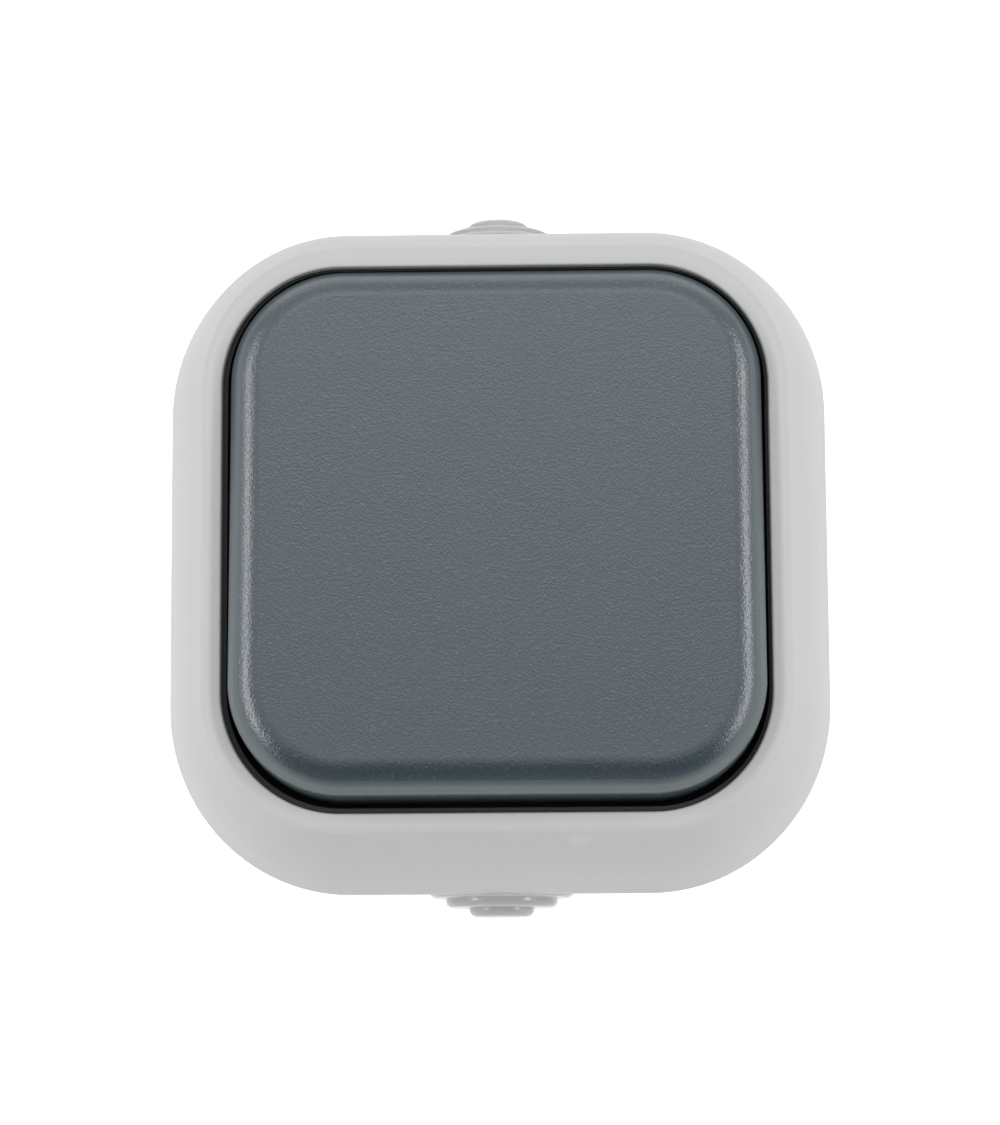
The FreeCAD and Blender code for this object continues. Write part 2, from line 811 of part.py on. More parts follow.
def make_fixed_contact(name):
    side, z, way = cage_pockets()[name]
    half = contact_plate_width / 2
    front = fixed_rivet_front() - rivet_height
    plate = terminal_plate(side, z, half, front)
    rest = block_between(-half, half, front - sheet, front, -way * contact_plate_inner, z - way * sheet / 2)
    return plate.fuse(rest).removeSplitter()


def make_fixed_rivets():
    front = fixed_rivet_front()
    places = (rivet_span / 2, -rivet_span / 2)
    return Part.makeCompound([peg(rivet_radius, front - rivet_height, front, 0, z) for z in places])


def contact_tilted(shape):
    """Turn a part of the moving contact about the knife edge to its rest position."""
    turned = shape.copy()
    turned.rotate(at(0, contact_pivot_depth, 0), ACROSS, contact_tilt)
    return turned


def make_moving_contact():
    front = contact_pivot_depth + contact_thickness
    return contact_tilted(slab(contact_width / 2, rivet_span / 2 + rivet_edge, 0, contact_pivot_depth, front))


def make_moving_rivets():
    back = contact_pivot_depth - rivet_height
    places = (rivet_span / 2, -rivet_span / 2)
    pieces = [peg(rivet_radius, back, contact_pivot_depth, 0, z) for z in places]
    return contact_tilted(Part.makeCompound(pieces))


def make_clamp_spring(name):
    """Bent leaf that presses a wire against the terminal sheet."""
    side, z, way = cage_pockets()[name]
    touch = sheet / 2 + clamp_contact_clearance + clamp_strip / 2
    path = [
        (z + way * clamp_leg, pocket_floor + clamp_leg_start),
        (z + way * clamp_leg, clamp_top),
        (z + way * clamp_knee, clamp_top),
        (z + way * touch, clamp_tip),
    ]
    return bent_strip(path, clamp_strip, clamp_bend, clamp_width, side * cage_x)


def make_release_button(name):
    """Plastic tongue that is pushed in from the back to open the clamp."""
    side, z, way = cage_pockets()[name]
    x = side * cage_x
    centre = z + way * button_offset
    start = insert_back - button_stand_out
    half = button_width / 2
    tongue = slab(half, button_thickness / 2, 0, start, clamp_tip + button_play, x, centre)
    collar_back = pocket_floor + cage_clearance
    collar_front = collar_back + button_collar_height
    collar = slab(half + button_collar, button_thickness / 2, 0, collar_back, collar_front, x, centre)
    return tongue.fuse(collar).removeSplitter()


def make_strap_screws():
    screws = []
    for x in (strap_screw_x, -strap_screw_x):
        screws.append(
            screw(
                strap_screw_head_radius,
                strap_screw_head_height,
                strap_screw_radius,
                strap_screw_length,
                strap_front,
                x,
                0,
            )
        )
    return Part.makeCompound(screws)


def make_cover_screws():
    screws = []
    for x, z in cover_screw_places():
        screws.append(
            screw(
                cover_screw_head_radius,
                cover_screw_head_height,
                cover_screw_radius,
                cover_screw_length,
                floor_front,
                x,
                z,
            )
        )
    return Part.makeCompound(screws)


def nodes():
    """Every piece of the switch by name."""
    return {
        "base_box": make_base_box(),
        "cable_grommet_top": make_cable_grommet(1),
        "cable_grommet_bottom": make_cable_grommet(-1),
        "rim_gasket": make_rim_gasket(),
        "cover_frame": make_cover_frame(),
        "rocker_seal": make_rocker_seal(),
        "rocker": make_rocker(),
        "actuator": make_actuator(),
        "plunger": make_plunger(),
        "toggle_spring": make_toggle_spring(),
        "insert_body": make_insert_body(),
        "support_strap": make_support_strap(),
        "insert_cover": make_insert_cover(),
        "common_terminal": make_common_terminal(),
        "fixed_contact_a": make_fixed_contact("a"),
        "fixed_contact_b": make_fixed_contact("b"),
        "fixed_rivets": make_fixed_rivets(),
        "moving_contact": make_moving_contact(),
        "moving_rivets": make_moving_rivets(),
        "clamp_spring_common": make_clamp_spring("common"),
        "clamp_spring_a": make_clamp_spring("a"),
        "clamp_spring_b": make_clamp_spring("b"),
        "release_button_common": make_release_button("common"),
        "release_button_a": make_release_button("a"),
        "release_button_b": make_release_button("b"),
        "strap_screws": make_strap_screws(),
        "cover_screws": make_cover_screws(),
    }


os.makedirs("parts", exist_ok=True)
for name, shape in nodes().items():
    shape.exportStep(f"parts/{name}.step")
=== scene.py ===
import math

import bmesh
import bpy
from mathutils import Matrix, Vector


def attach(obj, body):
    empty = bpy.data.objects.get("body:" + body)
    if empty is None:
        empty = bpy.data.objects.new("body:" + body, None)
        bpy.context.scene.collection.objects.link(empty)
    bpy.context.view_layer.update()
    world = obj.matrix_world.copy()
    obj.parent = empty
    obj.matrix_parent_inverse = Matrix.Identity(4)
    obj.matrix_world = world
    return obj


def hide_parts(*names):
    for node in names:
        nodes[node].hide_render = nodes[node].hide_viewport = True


# Surface-mounted weatherproof rocker switch. The wall is y = 0, the switch faces -Y and +Z is up.
# Depths are counted from the wall towards the user: a point at depth d has y = -d.

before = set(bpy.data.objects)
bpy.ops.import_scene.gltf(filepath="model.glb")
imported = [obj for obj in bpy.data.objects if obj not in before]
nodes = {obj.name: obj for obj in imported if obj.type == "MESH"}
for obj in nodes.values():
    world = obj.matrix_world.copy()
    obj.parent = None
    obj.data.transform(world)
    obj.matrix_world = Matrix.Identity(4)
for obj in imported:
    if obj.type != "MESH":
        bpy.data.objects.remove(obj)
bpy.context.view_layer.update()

# Stage. A white paper sweep stands well behind and below the switch, as in a light tent.
# The paper shows white to the camera and keeps its own soft shading.
floor_z = -0.45
paper_half = 1.6
wall_y = 0.75
sweep_radius = 0.35
bm = bmesh.new()
line = [
    bm.verts.new((-paper_half, -paper_half, floor_z)),
    bm.verts.new((-paper_half, wall_y, floor_z)),
    bm.verts.new((-paper_half, wall_y, paper_half)),
]
for start, end in zip(line, line[1:]):
    bm.edges.new((start, end))
bmesh.ops.bevel(
    bm,
    geom=[line[1]],
    offset=sweep_radius,
    offset_type="OFFSET",
    segments=24,
    profile=0.5,
    affect="VERTICES",
    material=-1,
)
across = bmesh.ops.extrude_edge_only(bm, edges=bm.edges[:])["geom"]
far_side = [part for part in across if isinstance(part, bmesh.types.BMVert)]
bmesh.ops.translate(bm, verts=far_side, vec=(2 * paper_half, 0, 0))
bmesh.ops.recalc_face_normals(bm, faces=bm.faces[:])
for face in bm.faces:
    face.smooth = True
mesh = bpy.data.meshes.new("paper_sweep")
bm.to_mesh(mesh)
bm.free()
sweep = bpy.data.objects.new("paper_sweep", mesh)
bpy.context.collection.objects.link(sweep)


def seen_directly(tree):
    """Factor that is 1 for rays from the camera, from a glossy surface or through glass."""
    path = tree.nodes.new("ShaderNodeLightPath")
    mirror = tree.nodes.new("ShaderNodeMath")
    mirror.operation = "MAXIMUM"
    tree.links.new(path.outputs["Is Camera Ray"], mirror.inputs[0])
    tree.links.new(path.outputs["Is Glossy Ray"], mirror.inputs[1])
    through = tree.nodes.new("ShaderNodeMath")
    through.operation = "MAXIMUM"
    tree.links.new(mirror.outputs[0], through.inputs[0])
    tree.links.new(path.outputs["Is Transmission Ray"], through.inputs[1])
    return through.outputs[0]


paper = bpy.data.materials.new("white_paper")
paper.use_nodes = True
tree = paper.node_tree
tree.nodes.clear()
out = tree.nodes.new("ShaderNodeOutputMaterial")
diffuse = tree.nodes.new("ShaderNodeBsdfDiffuse")
diffuse.inputs["Color"].default_value = (0.86, 0.86, 0.86, 1)
glow = tree.nodes.new("ShaderNodeEmission")
glow.inputs["Color"].default_value = (1, 1, 1, 1)
glow.inputs["Strength"].default_value = 0.75
add = tree.nodes.new("ShaderNodeAddShader")
tree.links.new(diffuse.outputs[0], add.inputs[0])
tree.links.new(glow.outputs[0], add.inputs[1])
mix = tree.nodes.new("ShaderNodeMixShader")
tree.links.new(seen_directly(tree), mix.inputs["Fac"])
tree.links.new(diffuse.outputs[0], mix.inputs[1])
tree.links.new(add.outputs[0], mix.inputs[2])
tree.links.new(mix.outputs[0], out.inputs["Surface"])
sweep.data.materials.append(paper)

# A folded card stands low in front, under the camera, and keeps the lower edges dark. Its upright half
# is black, and the half that lies back towards the wall is grey.
card_half = 0.5
fold_y = -0.3
fold_z = -0.4
upright_half = (0, -0.18, 0.27)
lying_half = (0, 0.28, -0.03)
bm = bmesh.new()
fold = bm.edges.new([bm.verts.new((x, fold_y, fold_z)) for x in (-card_half, card_half)])
for reach in (upright_half, lying_half):
    half = bmesh.ops.extrude_edge_only(bm, edges=[fold])["geom"]
    far_side = [part for part in half if isinstance(part, bmesh.types.BMVert)]
    bmesh.ops.translate(bm, verts=far_side, vec=reach)
for face in bm.faces:
    face.material_index = 1 if face.calc_center_median().y > fold_y else 0
mesh = bpy.data.meshes.new("black_card")
bm.to_mesh(mesh)
bm.free()
card = bpy.data.objects.new("black_card", mesh)
bpy.context.collection.objects.link(card)
card.visible_camera = False
card.visible_diffuse = False
card.visible_shadow = False
for name, level in {"black_velvet": 0.01, "grey_velvet": 0.45}.items():
    velvet = bpy.data.materials.new(name)
    velvet.use_nodes = True
    tree = velvet.node_tree
    tree.nodes.clear()
    out = tree.nodes.new("ShaderNodeOutputMaterial")
    pile = tree.nodes.new("ShaderNodeBsdfDiffuse")
    pile.inputs["Color"].default_value = (level, level, level, 1)
    tree.links.new(pile.outputs[0], out.inputs["Surface"])
    card.data.materials.append(velvet)

# All round is a pale tent. It gives a soft light, and is white where it is seen or mirrored.
world = bpy.data.worlds.new("tent")
bpy.context.scene.world = world
world.use_nodes = True
tree = world.node_tree
tree.nodes.clear()
out = tree.nodes.new("ShaderNodeOutputWorld")
ambient = tree.nodes.new("ShaderNodeBackground")
ambient.inputs["Color"].default_value = (0.97, 0.985, 1.0, 1)
ambient.inputs["Strength"].default_value = 0.25
white = tree.nodes.new("ShaderNodeBackground")
white.inputs["Color"].default_value = (1, 1, 1, 1)
white.inputs["Strength"].default_value = 1.0
mix = tree.nodes.new("ShaderNodeMixShader")
tree.links.new(seen_directly(tree), mix.inputs["Fac"])
tree.links.new(ambient.outputs[0], mix.inputs[1])
tree.links.new(white.outputs[0], mix.inputs[2])
tree.links.new(mix.outputs[0], out.inputs["Surface"])

# Light. Large soft boxes stand above, beside and slightly behind the switch, tall narrow ones at both
# sides in front, and two more high and low in front. All point at the switch. Each line gives the place,
# width, height and power of one.
aim = Vector((0, -0.04, 0))
boxes = {
    "above": ((0.0, 0.05, 0.62), 0.9, 0.6, 1.5),
    "left_back": ((-0.6, 0.12, 0.05), 0.6, 0.8, 0.05),
    "right_back": ((0.6, 0.12, 0.05), 0.6, 0.8, 0.1),
    "left_side": ((-0.72, -0.18, 0.05), 0.4, 0.8, 0.48),
    "right_side": ((0.72, -0.18, 0.05), 0.4, 0.8, 0.36),
    "left_front": ((-0.62, -0.46, 0.04), 0.15, 0.8, 3.1),
    "right_front": ((0.62, -0.46, 0.04), 0.15, 0.8, 3.15),
    "front_high": ((0.0, -0.72, 0.44), 0.6, 0.4, 1.22),
    "front_low": ((0.0, -0.6, -0.42), 0.7, 0.3, 0.06),
}
for name, (place, width, height, power) in boxes.items():
    lamp = bpy.data.lights.new("softbox_" + name, "AREA")
    lamp.shape = "RECTANGLE"
    lamp.size = width
    lamp.size_y = height
    lamp.energy = power
    box = bpy.data.objects.new("softbox_" + name, lamp)
    bpy.context.collection.objects.link(box)
    box.location = place
    box.rotation_euler = (aim - Vector(place)).to_track_quat("-Z", "Y").to_euler()
    box.visible_camera = False
    box.visible_glossy = name != "front_low"

# Camera. It stands straight in front, a little low and slightly to the right, and looks up.
camera_data = bpy.data.cameras.new("camera")
camera_data.sensor_width = 36.0
camera_data.lens = 105.485
camera_data.clip_start = 0.01
camera_data.clip_end = 20.0
camera = bpy.data.objects.new("camera", camera_data)
bpy.context.collection.objects.link(camera)
camera_place = (0.006379, -0.3611, -0.047559)
pitch = 0.14325
yaw = 0.01908
roll = 0.00599
aside = Matrix.Rotation(yaw, 4, "Z")
upward = Matrix.Rotation(math.pi / 2 + pitch, 4, "X")
leaning = Matrix.Rotation(-roll, 4, "Z")
camera.matrix_world = Matrix.Translation(camera_place) @ (aside @ upward @ leaning)
bpy.context.scene.camera = camera
bpy.context.scene.view_settings.view_transform = "Standard"

# Base box. One light grey thermoplastic moulding, screwed to the wall through two holes in its back;
# only its sides and back show. Its faces come from the solid, joined up so that the rounded corners
# shade smoothly.
mm = 0.001


def finish_piece(bm, name, materials, sharp_angle=40):
    """Turn a bmesh into a smooth-shaded object whose flat faces stay flat."""
    for face in bm.faces:
        face.smooth = True
    mesh = bpy.data.meshes.new(name)
    bm.to_mesh(mesh)
    bm.free()
    mesh.set_sharp_from_angle(angle=math.radians(sharp_angle))
    piece = bpy.data.objects.new(name, mesh)
    bpy.context.collection.objects.link(piece)
    for material in materials:
        piece.data.materials.append(material)
    even = piece.modifiers.new("even_normals", "WEIGHTED_NORMAL")
    even.keep_sharp = True
    even.weight = 100
    return piece


def new_group(name, inputs, outputs):
    """Empty node group with the given sockets."""
    group = bpy.data.node_groups.new(name, "ShaderNodeTree")
    for socket, kind, value in inputs:
        made = group.interface.new_socket(name=socket, in_out="INPUT", socket_type=kind)
        made.default_value = value
    for socket, kind in outputs:
        group.interface.new_socket(name=socket, in_out="OUTPUT", socket_type=kind)
    return group, group.nodes.new("NodeGroupInput"), group.nodes.new("NodeGroupOutput")


# A moulding's surface: a cloudy swing of colour and gloss, a fine grain, and painted glints: pale flecks
# on its peaks.
moulded, given, result = new_group(
    "moulded_plastic",
    [
        ("Colour", "NodeSocketColor", (0.6, 0.6, 0.6, 1)),
        ("Mottle", "NodeSocketFloat", 0.03),
        ("Grain Size", "NodeSocketFloat", 5000.0),
        ("Grain", "NodeSocketFloat", 0.1),
        ("Grain Depth", "NodeSocketFloat", 0.00004),
        ("Painted Glints", "NodeSocketFloat", 0.0),
        ("Roughness", "NodeSocketFloat", 0.4),
    ],
    [("Colour", "NodeSocketColor"), ("Roughness", "NodeSocketFloat"), ("Normal", "NodeSocketVector")],
)
place = moulded.nodes.new("ShaderNodeTexCoord")
cloud = moulded.nodes.new("ShaderNodeTexNoise")
cloud.inputs["Scale"].default_value = 90.0
cloud.inputs["Detail"].default_value = 4.0
moulded.links.new(place.outputs["Object"], cloud.inputs["Vector"])
centred = moulded.nodes.new("ShaderNodeMath")
centred.operation = "SUBTRACT"
centred.inputs[1].default_value = 0.5
moulded.links.new(cloud.outputs["Fac"], centred.inputs[0])
swing = moulded.nodes.new("ShaderNodeMath")
swing.operation = "MULTIPLY_ADD"
swing.inputs[2].default_value = 1.0
moulded.links.new(centred.outputs[0], swing.inputs[0])
moulded.links.new(given.outputs["Mottle"], swing.inputs[1])
grain = moulded.nodes.new("ShaderNodeTexNoise")
grain.inputs["Detail"].default_value = 2.0
moulded.links.new(place.outputs["Object"], grain.inputs["Vector"])
moulded.links.new(given.outputs["Grain Size"], grain.inputs["Scale"])
peaks = moulded.nodes.new("ShaderNodeMapRange")
peaks.inputs["From Min"].default_value = 0.62
peaks.inputs["From Max"].default_value = 0.78
moulded.links.new(grain.outputs["Fac"], peaks.inputs["Value"])
# Pale flecks on the grain's peaks are painted glints: lighter colour where glints would sparkle.
painted_glint = moulded.nodes.new("ShaderNodeMath")
painted_glint.operation = "MULTIPLY_ADD"
moulded.links.new(peaks.outputs["Result"], painted_glint.inputs[0])
moulded.links.new(given.outputs["Painted Glints"], painted_glint.inputs[1])
moulded.links.new(swing.outputs[0], painted_glint.inputs[2])
tint = moulded.nodes.new("ShaderNodeVectorMath")
tint.operation = "SCALE"
moulded.links.new(given.outputs["Colour"], tint.inputs[0])
moulded.links.new(painted_glint.outputs[0], tint.inputs["Scale"])
moulded.links.new(tint.outputs[0], result.inputs["Colour"])
bump = moulded.nodes.new("ShaderNodeBump")
moulded.links.new(given.outputs["Grain Depth"], bump.inputs["Distance"])
moulded.links.new(grain.outputs["Fac"], bump.inputs["Height"])
moulded.links.new(given.outputs["Grain"], bump.inputs["Strength"])
moulded.links.new(bump.outputs[0], result.inputs["Normal"])
spread = moulded.nodes.new("ShaderNodeMath")
spread.operation = "MULTIPLY_ADD"
spread.inputs[1].default_value = 0.12
moulded.links.new(centred.outputs[0], spread.inputs[0])
moulded.links.new(given.outputs["Roughness"], spread.inputs[2])
moulded.links.new(spread.outputs[0], result.inputs["Roughness"])


def plastic(name, colour, mottle, grain_size, grain, roughness):
    """Moulded plastic: colour, roughness and surface from the shared group."""
    material = bpy.data.materials.new(name)
    material.use_nodes = True
    tree = material.node_tree
    shader = tree.nodes["Principled BSDF"]
    look = tree.nodes.new("ShaderNodeGroup")
    look.node_tree = moulded
    look.inputs["Colour"].default_value = (*colour, 1)
    look.inputs["Mottle"].default_value = mottle
    look.inputs["Grain Size"].default_value = grain_size
    look.inputs["Grain"].default_value = grain
    look.inputs["Roughness"].default_value = roughness
    tree.links.new(look.outputs["Colour"], shader.inputs["Base Color"])
    tree.links.new(look.outputs["Roughness"], shader.inputs["Roughness"])
    tree.links.new(look.outputs["Normal"], shader.inputs["Normal"])
    return material


box_plastic = plastic("box_plastic", (0.55, 0.55, 0.548), 0.05, 4500.0, 0.12, 0.45)
bm = bmesh.new()
bm.from_mesh(nodes["base_box"].data)
bmesh.ops.remove_doubles(bm, verts=bm.verts[:], dist=1e-6)
box_piece = finish_piece(bm, "box_body", [box_plastic], sharp_angle=25)
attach(box_piece, "housing")
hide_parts("base_box")

# Cable grommets. Soft light grey elastomer, moulded in steps that are cut open to suit the cable.
# Each grips the round hole in the box wall with a neck between two flanges.
grommet_depth = 27.3
step_radius = 3.3
ledge_radius = 5.65
flange_radius = 7.3
neck_radius = 5.8
inner_radius = 6.9
hollow_radius = 4.75
wall_outside = 31.35
wall_inside = 28.95
inner_end = 27.6
membrane_back = 33.4
soft_edge = 0.2
step_root = 0.12
# Side of the box, then how far the tip, the ledge and the flange reach from its middle.
steps = {"top": (1, 35.97, 34.75, 33.75), "bottom": (-1, 35.52, 34.6, 33.65)}


def section(bm, corners, closed):
    """Line of edges through (point, rounding) corners, each corner rounded by a vertex bevel."""
    points = [bm.verts.new(corner[0]) for corner in corners]
    roundings = [corner[1] for corner in corners]
    pairs = list(zip(points, points[1:]))
    if closed:
        pairs.append((points[-1], points[0]))
    known = set(bm.edges)
    for pair in pairs:
        bm.edges.new(pair)
    for point, rounding in zip(points, roundings):
        if not rounding:
            continue
        bmesh.ops.bevel(
            bm,
            geom=[point],
            offset=rounding * mm,
            offset_type="OFFSET",
            segments=6,
            profile=0.5,
            affect="VERTICES",
            material=-1,
        )
    return [edge for edge in bm.edges if edge not in known]


elastomer = plastic("grommet_rubber", (0.455, 0.455, 0.45), 0.08, 3000.0, 0.15, 0.24)
for name, (side, tip, ledge, flange) in steps.items():
    # Each corner of the section has a radius, a height and a rounding.
    grommet_profile = [
        (0.0, tip, 0.0),
        (step_radius, tip, 0.85),
        (step_radius, ledge, step_root),
        (ledge_radius, ledge, 0.7),
        (ledge_radius, flange, step_root),
        (flange_radius, flange, 0.75),
        (flange_radius, wall_outside, 0.0),
        (neck_radius, wall_outside, 0.0),
        (neck_radius, wall_inside, 0.0),
        (inner_radius, wall_inside, soft_edge),
        (inner_radius, inner_end, soft_edge),
        (hollow_radius, inner_end, soft_edge),
        (hollow_radius, membrane_back, 0.0),
        (0.0, membrane_back, 0.0),
    ]
    corners = []
    for radius, z, rounding in grommet_profile:
        corners.append(((radius * mm, -grommet_depth * mm, side * z * mm), rounding))
    bm = bmesh.new()
    edges = section(bm, corners, closed=False)
    bmesh.ops.spin(
        bm,
        geom=bm.verts[:] + edges,
        cent=(0, -grommet_depth * mm, 0),
        axis=(0, 0, 1),
        angle=2 * math.pi,
        steps=96,
        use_merge=True,
    )
    bmesh.ops.remove_doubles(bm, verts=bm.verts[:], dist=1e-6)
    bmesh.ops.recalc_face_normals(bm, faces=bm.faces[:])
    grommet = finish_piece(bm, "grommet_" + name, [elastomer])
    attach(grommet, "housing")
    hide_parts("cable_grommet_" + name)

# Inside parts, which the cover and the rocker hide: white and grey mouldings, orange release tongues,
# brass sheets with silver rivets, spring steel, zinc-plated strap and screws, and a foam gasket.
foam = plastic("gasket_foam", (0.03, 0.03, 0.03), 0.3, 1500.0, 0.8, 0.8)
polyamide = plastic("white_polyamide", (0.8, 0.8, 0.77), 0.05, 4000.0, 0.1, 0.4)
insert_plastic = plastic("insert_plastic", (0.72, 0.72, 0.7), 0.05, 4000.0, 0.15, 0.45)
button_plastic = plastic("button_plastic", (0.75, 0.2, 0.03), 0.05, 4000.0, 0.1, 0.4)


def metal(name, colour, mottle, grain, roughness):
    """Bare or plated metal: the same surface as a moulding, with a very fine grain."""
    material = plastic(name, colour, mottle, 9000.0, grain, roughness)
    material.node_tree.nodes["Principled BSDF"].inputs["Metallic"].default_value = 1.0
    return material


zinc = metal("zinc_plate", (0.62, 0.63, 0.64), 0.12, 0.15, 0.3)
spring_steel = metal("spring_steel", (0.5, 0.5, 0.51), 0.08, 0.1, 0.25)
brass = metal("contact_brass", (0.78, 0.57, 0.27), 0.1, 0.1, 0.28)
silver = metal("silver_alloy", (0.85, 0.85, 0.83), 0.06, 0.1, 0.22)
inside = {
    "rim_gasket": foam,
    "actuator": polyamide,
    "plunger": polyamide,
    "insert_body": insert_plastic,
    "insert_cover": insert_plastic,
    "toggle_spring": spring_steel,
    "support_strap": zinc,
    "strap_screws": zinc,
    "cover_screws": zinc,
    "common_terminal": brass,
    "fixed_contact_a": brass,
    "fixed_contact_b": brass,
    "moving_contact": brass,
    "fixed_rivets": silver,
    "moving_rivets": silver,
}
for name in ("common", "a", "b"):
    inside["clamp_spring_" + name] = spring_steel
    inside["release_button_" + name] = button_plastic
for name, material in inside.items():
    nodes[name].data.materials.clear()
    nodes[name].data.materials.append(material)

# Cover frame. One light grey thermoplastic moulding, pushed over the box and held by two screws.
# A narrow rounded lip rings the opening; outside it the border bulges softly down to the rim.
# It is drawn a little wide and then narrowed, which leaves its corners taller than they are wide.
lip_half_x = 27.12
lip_half_z = 26.38
lip_corner = 11.7
lip_land = 1.75
lip_depth = 50.5
slope_middle = (5.06, 42.765)
rim_out = 6.94
rim_depth = 34.5
skirt_back = 32.8
skirt_in = 5.42
skirt_round = 0.25
gasket_front = 37.4
seat_in = 3.0
seat_front = 39.68
opening_wall = 1.6
opening_wall_front = 43.95
floor_back = 38.4
floor_front = 40.4
window = (18.65, 15.0, 2.0)
opening = (lip_half_x, lip_half_z, lip_corner)
narrowing = (0.9654, 1, 1)
cover_shift = (0.03 * mm, 0, -0.15 * mm)


def carry_round(bm, profile, half_x, half_z, corner, closed=True):
    """Section of (outward, depth, rounding) corners carried round a rounded rectangle.

    The straight sides are extruded and the corners are spun.
    """
    run_x = (half_x - corner) * mm
    run_z = (half_z - corner) * mm
    corners = [(((half_x + out) * mm, -depth * mm, -run_z), rounding) for out, depth, rounding in profile]
    edges = section(bm, corners, closed)
    sides = [(0, 2 * run_z), (-2 * run_x, 0), (0, -2 * run_z), (2 * run_x, 0)]
    centres = [(run_x, run_z), (-run_x, run_z), (-run_x, -run_z), (run_x, -run_z)]
    for (step_x, step_z), (x, z) in zip(sides, centres):
        made = bmesh.ops.extrude_edge_only(bm, edges=edges)["geom"]
        verts = [part for part in made if isinstance(part, bmesh.types.BMVert)]
        bmesh.ops.translate(bm, verts=verts, vec=(step_x, 0, step_z))
        fresh = set(verts)
        edges = [edge for vert in verts for edge in vert.link_edges if fresh.issuperset(edge.verts)]
        edges = list(dict.fromkeys(edges))
        spun = bmesh.ops.spin(
            bm,
            geom=verts + edges,
            cent=(x, 0, z),
            axis=(0, -1, 0),
            angle=math.pi / 2,
            steps=28,
            use_merge=False,
        )
        edges = [part for part in spun["geom_last"] if isinstance(part, bmesh.types.BMEdge)]
    bmesh.ops.remove_doubles(bm, verts=bm.verts[:], dist=1e-6)


def outline(bm, half_x, half_z, corner, depth):
    """Closed rounded-rectangle loop of edges, parallel to the wall."""
    known = set(bm.edges)
    signs = [(-1, -1), (1, -1), (1, 1), (-1, 1)]
    corners = [bm.verts.new((x * half_x * mm, -depth * mm, z * half_z * mm)) for x, z in signs]
    bm.faces.new(corners)
    bmesh.ops.bevel(
        bm,
        geom=corners,
        offset=corner * mm,
        offset_type="OFFSET",
        segments=12,
        profile=0.5,
        affect="VERTICES",
        material=-1,
    )
    edges = [edge for edge in bm.edges if edge not in known]
    fill = {face for edge in edges for face in edge.link_faces}
    bmesh.ops.delete(bm, geom=list(fill), context="FACES_ONLY")
    return edges


def bridge_round(bm, outlines):
    """Closed ring bridged through (half_x, half_z, corner, depth) outlines."""
    loops = [outline(bm, *sizes) for sizes in outlines]
    for first, second in zip(loops, loops[1:] + loops[:1]):
        bmesh.ops.bridge_loops(bm, edges=first + second)


def between(tree, value, low, high):
    """Factor that goes from 0 to 1 as the value goes from low to high."""
    ramp = tree.nodes.new("ShaderNodeMapRange")
    ramp.inputs["From Min"].default_value = low
    ramp.inputs["From Max"].default_value = high
    tree.links.new(value, ramp.inputs["Value"])
    return ramp.outputs["Result"]


def lay_wear_and_painted_light(material, factor, colour):
    """Lay another colour over the material's own colour: used for a wear mark on the cover and for
    painted light on the rubber.
    """
    tree = material.node_tree
    overlay = tree.nodes.new("ShaderNodeMix")
    overlay.data_type = "RGBA"
    tree.links.new(factor, overlay.inputs[0])
    tree.links.new(tree.nodes["Group"].outputs["Colour"], overlay.inputs[6])
    overlay.inputs[7].default_value = (*colour, 1)
    tree.links.new(overlay.outputs[2], tree.nodes["Principled BSDF"].inputs["Base Color"])


cover_plastic = plastic("cover_plastic", (0.549, 0.549, 0.547), 0.05, 4500.0, 0.10, 0.42)
tree = cover_plastic.node_tree
tree.nodes["Principled BSDF"].inputs["Specular IOR Level"].default_value = 0.2
# A faint rub mark with a ragged edge lies low on the border, right of the middle.
mark_place = (0.0089, -0.0478, -0.0282)
mark_edge = (0.0016, 0.0007)
mark_colour = (0.585, 0.585, 0.583)
place = tree.nodes.new("ShaderNodeTexCoord")
waver = tree.nodes.new("ShaderNodeTexNoise")
waver.inputs["Scale"].default_value = 900.0
tree.links.new(place.outputs["Object"], waver.inputs["Vector"])
pushed = tree.nodes.new("ShaderNodeVectorMath")
pushed.operation = "MULTIPLY_ADD"
pushed.inputs[1].default_value = (0.0022, 0.0022, 0.0022)
tree.links.new(waver.outputs["Color"], pushed.inputs[0])
tree.links.new(place.outputs["Object"], pushed.inputs[2])
away = tree.nodes.new("ShaderNodeVectorMath")
away.operation = "DISTANCE"
away.inputs[1].default_value = mark_place
tree.links.new(pushed.outputs[0], away.inputs[0])
lay_wear_and_painted_light(cover_plastic, between(tree, away.outputs["Value"], *mark_edge), mark_colour)

# Each corner of the section is so far out from the opening and so deep, and has a rounding.
cover_profile = [
    (0, floor_back, 0),
    (0, lip_depth, 0.22),
    (lip_land, lip_depth, 0.95),
    (*slope_middle, 3.9),
    (rim_out, rim_depth, 0.35),
    (rim_out, skirt_back, skirt_round),
    (skirt_in, skirt_back, skirt_round),
    (skirt_in, gasket_front, 0),
    (seat_in, gasket_front, 0),
    (seat_in, seat_front, 0),
    (opening_wall, opening_wall_front, 0),
    (opening_wall, floor_back, 0),
]
bm = bmesh.new()
carry_round(bm, cover_profile, *opening)
bridge_round(
    bm, [(*window, floor_back), (*window, floor_front), (*opening, floor_front), (*opening, floor_back)]
)
bmesh.ops.scale(bm, verts=bm.verts[:], vec=narrowing)
bmesh.ops.recalc_face_normals(bm, faces=bm.faces[:])
